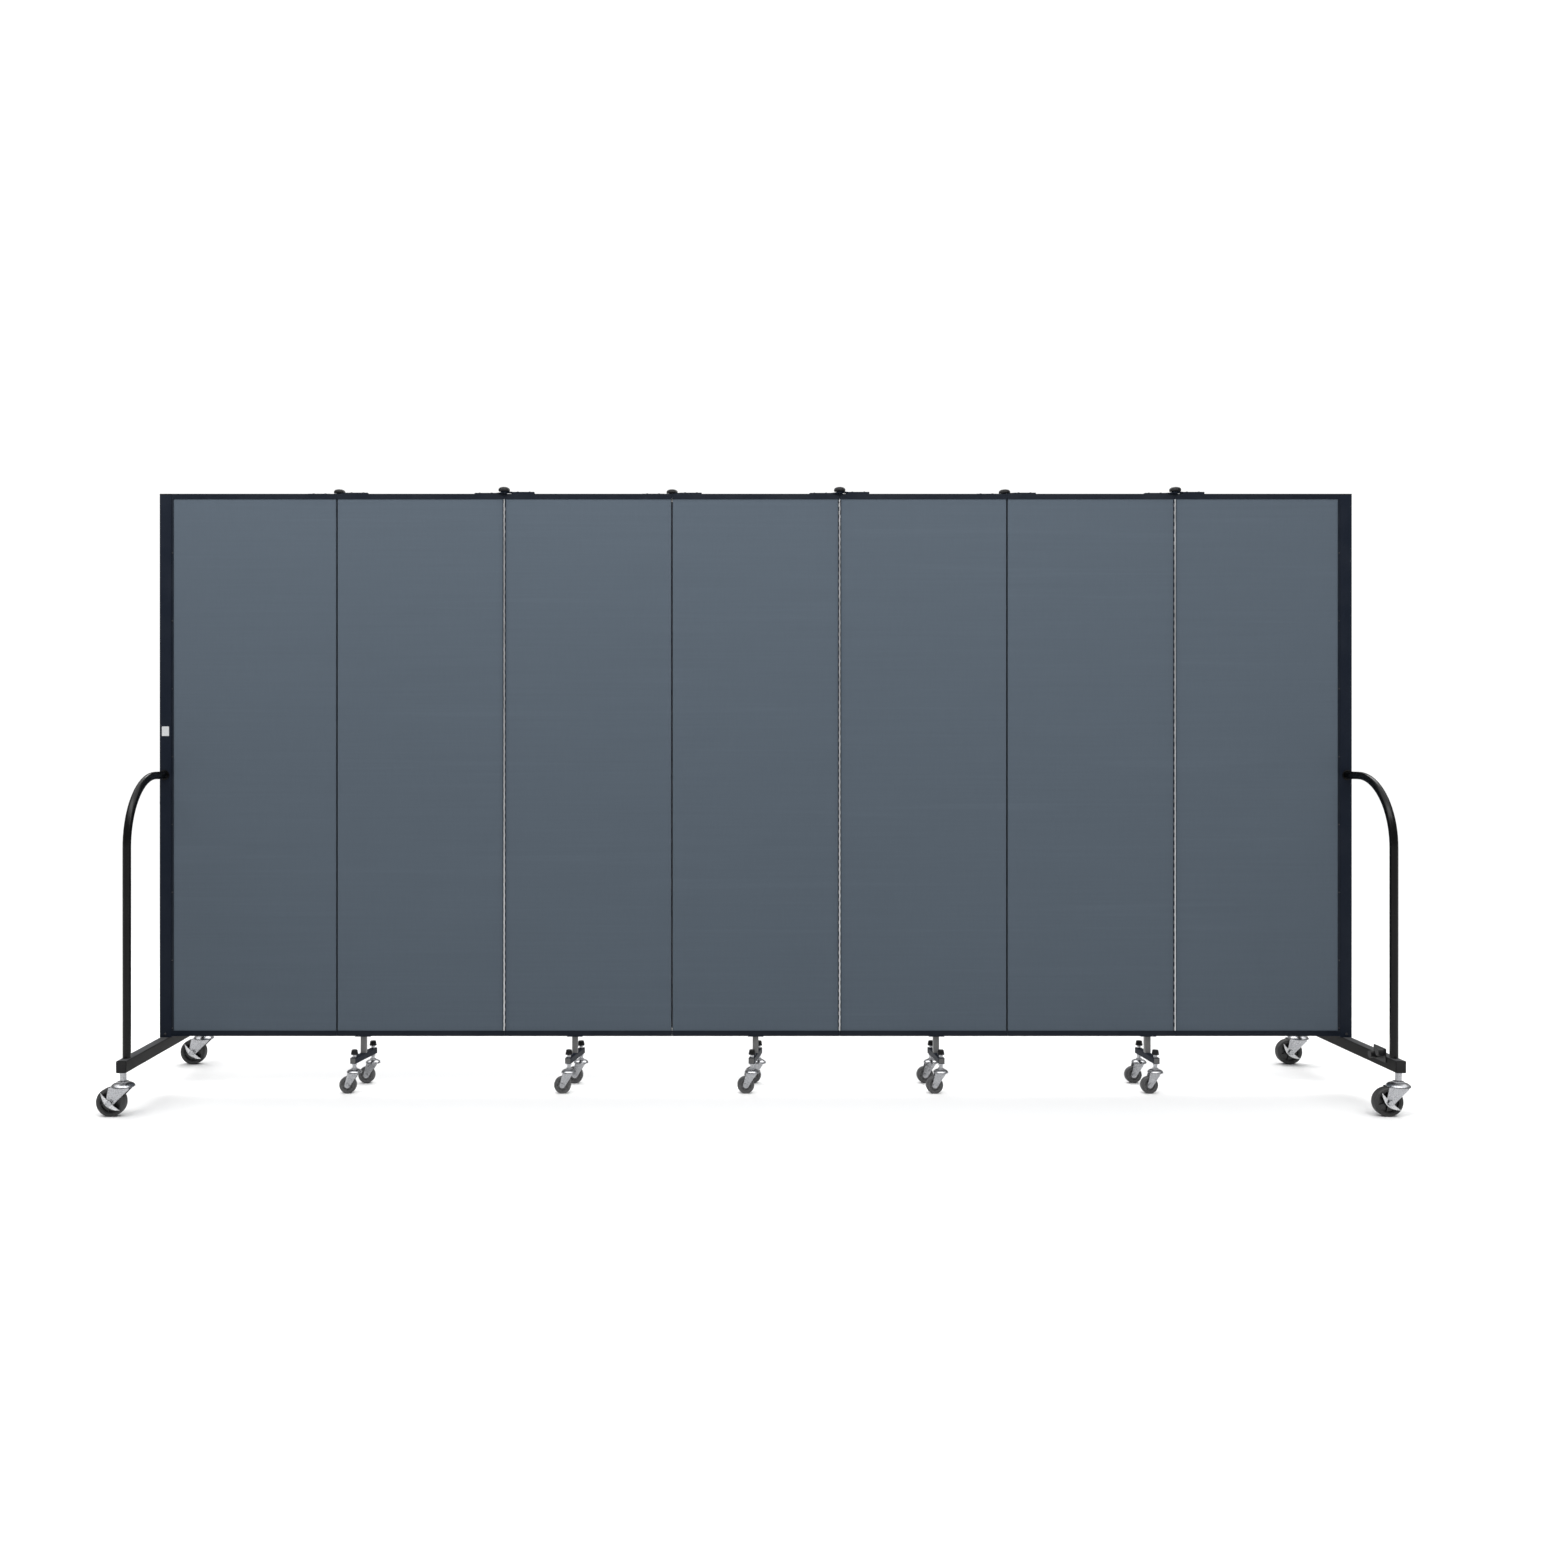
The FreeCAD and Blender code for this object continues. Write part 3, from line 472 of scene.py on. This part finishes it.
def hinge_leaf(bm, seam, side):
    """One leaf with every second knuckle. Side -1 is the panel on the left of the seam."""
    axis = hinge_axis(seam)
    face = 1 if axis.y > 0 else -1
    low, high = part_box(f"panel_{seam if side < 0 else seam + 1}_hinge_leaves")
    count = int((high.z - low.z) / KNUCKLE)
    pitch = (high.z - low.z) / count
    edge = axis.x + side * BARREL
    inner = edge - side * LEAF
    near = axis.y - face * LEAF_BACK
    far = near - face * LEAF_DEPTH
    outline = [(edge, near), (inner, near), (inner, far), (edge, far)]
    plate(bm, outline, low.z, high.z, upright, 1)
    lip_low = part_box(f"panel_{seam}_frame")[0].z + LIP_END_GAP
    lip_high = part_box(f"panel_{seam}_board")[1].z - LIP_END_GAP
    lip = [(edge, face * LIP_Y[0]), (edge + side * LIP_WIDTH, face * LIP_Y[0]),
           (edge + side * LIP_WIDTH, face * LIP_Y[1]), (edge, face * LIP_Y[1])]
    plate(bm, lip, lip_low, lip_high, upright, 1)
    lug = [(axis.x + side * LUG_X[0], face * LUG_Y[0]), (axis.x + side * LUG_X[1], face * LUG_Y[0]),
           (axis.x + side * LUG_X[1], face * LUG_Y[1]), (axis.x + side * LUG_X[0], face * LUG_Y[1])]
    wrap = arc((0, 0), 1, 0, WRAP_SWEEP, WRAP_STEPS)
    bore = PIN + PIN_GAP
    for i in range(0 if side < 0 else 1, count, 2):
        z0 = low.z + i * pitch + KNUCKLE_GAP / 2
        z1 = z0 + pitch - KNUCKLE_GAP
        outer = [(axis.x + side * BARREL * c, axis.y + face * BARREL * s) for c, s in wrap]
        inside = [(axis.x + side * bore * c, axis.y + face * bore * s) for c, s in reversed(wrap)]
        tongue = [(inner, near), (edge, near)]
        plate(bm, outer + inside + tongue, z0, z1, upright)
        if z0 > lip_low and z1 < lip_high:
            plate(bm, lug, z0 + LUG_TRIM, z1 - LUG_TRIM, upright)


def hinges(panel):
    bm = bmesh.new()
    if panel > 1:
        hinge_leaf(bm, panel - 1, 1)
    if panel < 7:
        hinge_leaf(bm, panel, -1)
        low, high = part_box(f"panel_{panel}_hinge_leaves")
        axis = hinge_axis(panel)
        length = high.z - low.z
        profile = [(PIN - PIN_TIP, 0), (PIN, PIN_TIP), (PIN, length - PIN_TIP), (PIN - PIN_TIP, length)]
        spun(bm, profile, (axis.x, axis.y, low.z), (0, 0, 1), PIN_SEGMENTS)
    piece(f"hinge_leaves_{panel}", bm, f"panel_{panel}", [STEEL, TRIM],
          [f"panel_{panel}_hinge_leaves"])


for number in PANELS:
    hinges(number)


# ---------------------------------------------------------------- rails, straps and knobs
def cross_screw(bm, origin, axis, radius, height, index=0):
    """A pan-head screw with a cross recess sunk in its dome."""
    place = basis(origin, axis)
    arm = 0.62 * radius
    half = 0.13 * radius
    spokes = 32
    rim = []
    profile = [(radius, 0.0), (radius, 0.45 * height), (0.9 * radius, 0.75 * height),
               (0.74 * radius, height)]
    rim += turned(profile, origin, axis, spokes)
    slot = []
    for i in range(spokes):
        turn = 2 * math.pi * i / spokes
        c, s = math.cos(turn), math.sin(turn)
        reach = min(arm, half / max(min(abs(c), abs(s)), 1e-6))
        slot.append((reach * c, reach * s))
    for depth in (height, height * 0.35):
        rim.append([place @ Vector((u, v, depth)) for u, v in slot])
    paint(loop_faces(bm, rim), index)


def frame_solid(panel):
    """Picks a finish for each solid of a panel frame, by its size and place."""
    rail_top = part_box(f"panel_{panel}_board")[1].z

    def choose(low, high):
        size = high - low
        if low.z > rail_top and max(size.x, size.y) < 42 * MM:
            knob_or_screw = size.x > 30 * MM or (size.x < 10 * MM and size.z < 4 * MM)
            return None if knob_or_screw else 1
        if low.z > rail_top:
            return 2 if size.x < 300 * MM and size.z < 10 * MM else 0
        if size.x < 6 * MM and size.z < 6 * MM:
            return None
        return 0

    return choose


def islands_of(node, test):
    """Boxes of the solids of a CAD node that pass a test."""
    bm = bmesh.new()
    bm.from_mesh(nodes[node].data)
    found = [pair for pair in map(extent, solids(bm)) if test(*pair)]
    bm.free()
    return sorted(found, key=lambda pair: (pair[0].x, pair[0].y, pair[0].z))


def screws(panel):
    """Screw heads on the straps and on the edge channels."""
    bm = bmesh.new()

    def on_strap(low, high):
        size = high - low
        return low.z > 1.9 and size.x < 10 * MM and 1 * MM < size.z < 4 * MM

    def on_channel(low, high):
        size = high - low
        return low.z < 1.97 and size.x < 6 * MM and size.z < 6 * MM

    for low, high in islands_of(f"panel_{panel}_frame", on_strap):
        middle = (low + high) / 2
        cross_screw(bm, (middle.x, middle.y, low.z), (0, 0, 1), (high.x - low.x) / 2, high.z - low.z)
    for low, high in islands_of(f"panel_{panel}_frame", on_channel):
        middle = (low + high) / 2
        face = 1 if middle.y > 0 else -1
        root = low.y if face > 0 else high.y
        cross_screw(bm, (middle.x, root, middle.z), (0, face, 0), (high.x - low.x) / 2, high.y - low.y)
    piece(f"screws_{panel}", bm, f"panel_{panel}", [DARK_STEEL])


def knob(seam):
    """Round tension knob with a domed top and shallow finger flutes."""
    axis = hinge_axis(seam)

    def is_knob(low, high):
        return low.z > 1.9 and 30 * MM < high.x - low.x < 42 * MM

    low, high = islands_of(f"panel_{seam}_frame", is_knob)[0]
    height = high.z - low.z
    outer = (high.x - low.x) / 2
    flutes = 12
    segments = 96
    bm = bmesh.new()
    profile = [(0.62, 0.0), (0.93, 0.0), (1.0, 0.1), (1.0, 0.42), (0.96, 0.62), (0.86, 0.79), (0.7, 0.92),
               (0.5, 0.985), (0.3, 1.0), (0.26, 0.93), (0.05, 0.93)]
    rings = []
    for share, rise in profile:
        ring = []
        for i in range(segments):
            turn = 2 * math.pi * i / segments
            fluted = share > 0.8 and rise < 0.9
            flute = 0.035 * max(0.0, math.cos(flutes * turn)) ** 3 if fluted else 0.0
            radius = outer * (share - flute)
            x = axis.x + radius * math.cos(turn)
            y = axis.y + radius * math.sin(turn)
            ring.append((x, y, low.z + height * rise))
        rings.append(ring)
    loop_faces(bm, rings)
    piece(f"tension_knob_{seam}", bm, f"panel_{seam}", [PLASTIC])


for number in PANELS:
    dressed(f"frame_{number}", f"panel_{number}_frame", f"panel_{number}",
            [TRIM, DARK_STEEL, PAINT], frame_solid(number), 0.35 * MM)
    screws(number)
for number in SEAMS:
    knob(number)


# ---------------------------------------------------------------- middle legs and end frames
def leg_solid(low, high):
    size = high - low
    if size.z > 45 * MM and size.x < 20 * MM and size.y < 20 * MM and low.z > 0.11:
        return 1
    if size.y > 100 * MM or size.x > 45 * MM:
        return 0
    if low.z > 0.12 and size.z < 20 * MM:
        return None
    if size.y < 8 * MM or (low.z > 0.095 and size.z < 19 * MM):
        return 2
    return 3


def leg_knobs(panel):
    """Six-lobed knobs over the caster stems of a middle leg."""
    bm = bmesh.new()

    def is_knob(low, high):
        size = high - low
        return low.z > 0.12 and size.z < 20 * MM and size.x < 25 * MM and size.y > 15 * MM

    for low, high in islands_of(f"panel_{panel}_leg", is_knob):
        middle = (low + high) / 2
        outer = (high.x - low.x) / 2
        height = high.z - low.z
        rings = []
        for share, rise in [(0.6, 0.0), (0.94, 0.0), (1.0, 0.08), (0.95, 0.3), (0.8, 0.88), (0.7, 0.98),
                            (0.6, 1.0), (0.2, 1.0)]:
            ring = []
            for i in range(72):
                turn = 2 * math.pi * i / 72
                lobe = 1 - 0.1 * max(0.0, math.cos(6 * turn)) ** 2 * (share > 0.65)
                radius = outer * share * lobe
                ring.append((middle.x + radius * math.cos(turn), middle.y + radius * math.sin(turn),
                             low.z + height * rise))
            rings.append(ring)
        loop_faces(bm, rings)
    piece(f"leg_knobs_{panel}", bm, f"panel_{panel}", [PLASTIC])


for number in LEGS:
    dressed(f"leg_{number}", f"panel_{number}_leg", f"panel_{number}",
            [PAINT, LEG_PAINT, GREY_CAP, ZINC], leg_solid)
    leg_knobs(number)


def end_solid(low, high):
    """Post, foot, brace, caps, catch and stems of an end frame."""
    size = high - low
    if size.z > 1.0:
        return 0
    if size.z > 0.5:
        return 1
    if size.y > 0.5:
        return 4
    if high.z < 0.158 and low.z < 0.135 and size.x < 40 * MM:
        return 3
    if size.z < 36 * MM and size.y < 4 * MM:
        return 2
    if low.z > 0.9 and size.z < 40 * MM:
        return 1
    return 2


for number, node_name in ENDS.items():
    dressed(node_name + "_dressed", node_name, f"panel_{number}",
            [PAINT, GLOSS, PLASTIC, ZINC, FOOT_PAINT], end_solid, 0.4 * MM)


# ---------------------------------------------------------------- casters
def caster(panel, place):
    """A caster's name, axle and stem places, wheel radius and wheel width, from its joints and wheel."""
    name = f"caster_{panel}_{place}"
    axle = Vector(joints[name + "_roll"]["pos_m"])
    stem = Vector(joints[name + "_swivel"]["pos_m"])
    low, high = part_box(name + "_wheel")
    return name, axle, stem, (high.z - low.z) / 2, high.y - low.y


def wheel(panel, place):
    """Tyre with a round tread and a hub with a recessed, ribbed web and a raised boss."""
    name, axle, _, radius, width = caster(panel, place)
    large = panel in ENDS
    tyre_mat, hub_mat = (TYRE, HUB) if large else (GREY_TYRE, GREY_HUB)
    rim = radius * (0.755 if large else 0.75)
    bore = (5.1 if large else 4.1) * MM
    boss = bore + 4.6 * MM
    tread = (30 if large else 20) * MM / 2
    half = width / 2
    round_off = 0.36 * tread
    bm = bmesh.new()
    tyre = [(rim, -0.86 * tread), (rim + 0.5 * MM, -0.95 * tread)]
    tyre += [(r, h) for h, r in arc((-tread + round_off, radius - round_off), round_off, 180, 90, 7)]
    tyre += [(r, h) for h, r in arc((tread - round_off, radius - round_off), round_off, 90, 0, 7)]
    tyre += [(rim + 0.5 * MM, 0.95 * tread), (rim, 0.86 * tread)]
    lathe(bm, tyre, axle, (0, 1, 0), 72, 0)
    web = 0.35 * tread
    hub = [(bore, -half), (boss - 0.5 * MM, -half), (boss, -half + 0.5 * MM), (boss + 1.5 * MM, -web),
           (rim - 4.5 * MM, -web), (rim - 2.6 * MM, -0.8 * tread), (rim - 0.3 * MM, -0.84 * tread),
           (rim - 0.3 * MM, 0.84 * tread), (rim - 2.6 * MM, 0.8 * tread), (rim - 4.5 * MM, web),
           (boss + 1.5 * MM, web), (boss, half - 0.5 * MM), (boss - 0.5 * MM, half), (bore, half)]
    lathe(bm, hub, axle, (0, 1, 0), 72, 1)
    ribs = 6
    for i in range(ribs):
        turn = 2 * math.pi * i / ribs + 0.3
        out = Vector((math.cos(turn), 0, math.sin(turn)))
        across = Vector((-math.sin(turn), 0, math.cos(turn)))
        reach = rim - 3 * MM
        outline = [(boss, -1.1 * MM), (reach, -0.8 * MM), (reach, 0.8 * MM), (boss, 1.1 * MM)]
        plate(bm, outline, -0.72 * tread, 0.72 * tread,
              lambda u, v, w: axle + out * u + across * v + Vector((0, w, 0)), 1)
    piece(f"wheel_{panel}_{place}", bm, name + "_wheel", [tyre_mat, hub_mat],
          [name + "_wheel"])


# Crown of a fork: brim radius, top radius, height, and the bore that stays as it is
CROWN_LARGE = (36 * MM, 17 * MM, 12.5 * MM, 7 * MM)
CROWN_SMALL = (25 * MM, 10 * MM, 10.7 * MM, 5 * MM)
CROWN_STEPS = (0.15, 0.3, 0.45, 0.6, 0.75, 0.88)


def domed(panel, place):
    """Gives a fork's conical crown the round shoulder of a pressed one, inside the same brim and top."""
    stem = caster(panel, place)[2]
    brim, top, rise, bore = CROWN_LARGE if panel in ENDS else CROWN_SMALL

    def reshape(bm):
        bottom = stem.z - rise
        for step in CROWN_STEPS:
            geometry = bm.verts[:] + bm.edges[:] + bm.faces[:]
            bmesh.ops.bisect_plane(bm, geom=geometry, dist=0.01 * MM, plane_no=(0, 0, 1),
                                   plane_co=(0, 0, bottom + step * rise))
        for vert in bm.verts:
            rise_share = (vert.co.z - bottom) / rise
            away = Vector((vert.co.x - stem.x, vert.co.y - stem.y))
            if 0 < rise_share < 1 and away.length > bore:
                cone = brim + (top - brim) * rise_share
                dome = top + (brim - top) * (1 - rise_share ** 2) ** 0.6
                away *= dome / cone
                vert.co.x = stem.x + away.x
                vert.co.y = stem.y + away.y

    return reshape


LEVER_HALF = 39.5 * MM
LEVER_CHORD = 5 * MM  # from the axle to the line between the tips
LEVER_OUTER = 18 * MM
LEVER_INNER = 2 * MM
LEVER_BOSS = 12 * MM
LEVER_TILT = -42  # degrees
LEVER_RIM = 1.1 * MM
LEVER_BORE = 5.1 * MM


def brake(panel, place):
    """Pressed crescent lever with a turned-out rim, a boss and a foot ledge."""
    name, axle = caster(panel, place)[:2]
    low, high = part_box(name + "_brake")
    tilt = math.radians(LEVER_TILT)
    steps = 48
    outer, inner = [], []
    for i in range(steps + 1):
        along = 2 * i / steps - 1
        u = LEVER_HALF * along
        dip = LEVER_CHORD - LEVER_OUTER * (1 - along * along)
        hollow = LEVER_CHORD - LEVER_INNER * (1 - along * along)
        if abs(u) < LEVER_BOSS:
            hollow = max(hollow, math.sqrt(LEVER_BOSS ** 2 - u * u))
        spread = 0.7 * MM * along ** 8
        outer.append((u, dip - spread))
        inner.append((u, hollow + spread))
    outline = outer + inner[::-1]
    middle = [(u * 0.97, (v - 0.5 * MM) * 0.86) for u, v in outline]

    def at(point, depth):
        u, v = point
        across = u * math.cos(tilt) - v * math.sin(tilt)
        up = u * math.sin(tilt) + v * math.cos(tilt)
        return (axle.x + across, depth, axle.z + up)

    bore = []
    for u, v in outline:
        away = math.hypot(u, v) / LEVER_BORE
        bore.append((u / away, v / away))
    recess = low.y + LEVER_RIM
    stages = [(bore, recess), ([(u * 0.97, v * 0.95) for u, v in middle], recess), (middle, low.y),
              ([(u * 0.995, v * 0.98) for u, v in outline], low.y), (outline, low.y + 0.3 * MM),
              (outline, high.y), (bore, high.y)]
    bm = bmesh.new()
    skin(bm, [[at(point, depth) for point in line] for line, depth in stages])
    piece(f"brake_{panel}_{place}", bm, name + "_brake", [LEVER_ZINC], [name + "_brake"])


for number in PANELS:
    for where in PLACES:
        wheel(number, where)
        caster_name = f"caster_{number}_{where}"
        dressed(f"fork_{number}_{where}", caster_name + "_fork", caster_name + "_fork",
                [ZINC], lambda low, high: 0, 0.45 * MM, domed(number, where))
        if number in ENDS:
            brake(number, where)


# ---------------------------------------------------------------- label plate and post bolts
LABEL_INSET = 20 * MM  # from the panel's rails out to the label's middle
LABEL_HEIGHT = 1.2
LABEL_HALF_WIDTH = 12 * MM
LABEL_HALF_HEIGHT = 16 * MM
LABEL_CORNER = 2 * MM
LABEL_DEPTH = 0.5 * MM
POST_BOLT_INSET = 21 * MM  # from the panel's rails out to the bolt
POST_BOLT_RISE = 7 * MM
POST_BOLT_RADIUS = 4.2 * MM
POST_BOLT_HEAD = 2.2 * MM


def label():
    """Plain pale plate on the front of the left post, where the real one carries a label."""
    centre_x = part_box("panel_1_frame")[0].x - LABEL_INSET
    half_w, half_h, corner = LABEL_HALF_WIDTH, LABEL_HALF_HEIGHT, LABEL_CORNER
    bm = bmesh.new()
    outline = []
    for u, v, start in ((1, 1, 0), (-1, 1, 90), (-1, -1, 180), (1, -1, 270)):
        outline += arc((u * (half_w - corner), v * (half_h - corner)), corner, start, start + 90, 4)
    plate(bm, outline, 0.0, LABEL_DEPTH, lambda u, v, w: (centre_x + u, -WALL_FACE - w, LABEL_HEIGHT + v))
    piece("blank_label", bm, "panel_1", [LABEL])


label()


def post_bolts(panel):
    """Button-head bolts through the foot of a post, on its front and back."""
    side = -1 if panel == 1 else 1
    bm = bmesh.new()
    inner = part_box(f"panel_{panel}_frame")[0 if side < 0 else 1].x
    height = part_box(f"panel_{panel}_frame")[0].z + POST_BOLT_RISE
    for face in (-1, 1):
        seat = (inner + side * POST_BOLT_INSET, face * WALL_FACE, height)
        cross_screw(bm, seat, (0, face, 0), POST_BOLT_RADIUS, POST_BOLT_HEAD)
    piece(f"post_bolts_{panel}", bm, f"panel_{panel}", [DARK_STEEL])


for number in ENDS:
    post_bolts(number)


# ---------------------------------------------------------------- stage, light and camera
FLOOR_RADIUS = 60
AMBIENT = 0.28
BACKDROP = 1.05  # what the camera sees past the floor
OVERHEAD_POWER = 3.3
OVERHEAD_SPREAD = 100  # degrees
STRIP_TARGET = (0, 0, 1.5)
STRIP_SIZE = (6.5, 1.0)
STRIP_POWER = 90
EYE_HEIGHT = 1.1437
EYE_DISTANCE = 4.5  # from the front face of the panels
EYE_LEFT = 0.216  # left of the middle of the panels
LENS = 30.96
SHIFT = (0.0568, -0.0208)


def stage():
    bm = bmesh.new()
    bmesh.ops.create_circle(bm, cap_ends=True, segments=96, radius=FLOOR_RADIUS)
    mesh = bpy.data.meshes.new("studio_floor")
    bm.to_mesh(mesh)
    bm.free()
    g = Graph("pale_floor")
    soft = g.noise(2.0, detail=4.0)
    g.set(base_color=g.mix(soft, rgb(0.80, 0.80, 0.80), rgb(0.84, 0.84, 0.84)), roughness=0.75)
    mesh.materials.append(g.material)
    floor = bpy.data.objects.new("studio_floor", mesh)
    bpy.context.scene.collection.objects.link(floor)


def world():
    made = bpy.data.worlds.new("studio")
    bpy.context.scene.world = made
    made.use_nodes = True
    tree = made.node_tree
    background = tree.nodes["Background"]
    background.inputs["Color"].default_value = rgb(1, 1, 1)
    path = tree.nodes.new("ShaderNodeLightPath")
    strength = tree.nodes.new("ShaderNodeMapRange")
    strength.inputs["To Min"].default_value = AMBIENT
    strength.inputs["To Max"].default_value = BACKDROP
    tree.links.new(path.outputs["Is Camera Ray"], strength.inputs["Value"])
    tree.links.new(strength.outputs[0], background.inputs["Strength"])


def area_light(name, place):
    """A strip light above one face of the wall, turned to the middle of the panels."""
    data = bpy.data.lights.new(name, "AREA")
    data.shape = "RECTANGLE"
    data.size, data.size_y = STRIP_SIZE
    data.energy = STRIP_POWER
    made = bpy.data.objects.new(name, data)
    made.location = place
    made.rotation_mode = "QUATERNION"
    made.rotation_quaternion = (Vector(STRIP_TARGET) - Vector(place)).to_track_quat("-Z", "Y")
    made.visible_camera = False
    bpy.context.scene.collection.objects.link(made)


def overhead_light():
    """Broad light from straight above, even over the whole floor."""
    data = bpy.data.lights.new("overhead", "SUN")
    data.energy = OVERHEAD_POWER
    data.angle = math.radians(OVERHEAD_SPREAD)
    bpy.context.scene.collection.objects.link(bpy.data.objects.new("overhead", data))


stage()
world()
overhead_light()
for side, name in ((-1, "front_high"), (1, "back_high")):
    area_light(name, (side * 0.3, side * 1.7, 3.3))


def camera():
    data = bpy.data.cameras.new("camera")
    data.lens = LENS
    data.shift_x, data.shift_y = SHIFT
    made = bpy.data.objects.new("camera", data)
    middle = (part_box("panel_1_frame")[0].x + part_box("panel_7_frame")[1].x) / 2
    made.location = (middle - EYE_LEFT, -WALL_FACE - EYE_DISTANCE, EYE_HEIGHT)
    made.rotation_euler = (math.radians(90), 0, 0)
    bpy.context.scene.collection.objects.link(made)
    bpy.context.scene.camera = made


camera()
bpy.context.scene.view_settings.view_transform = "Standard"
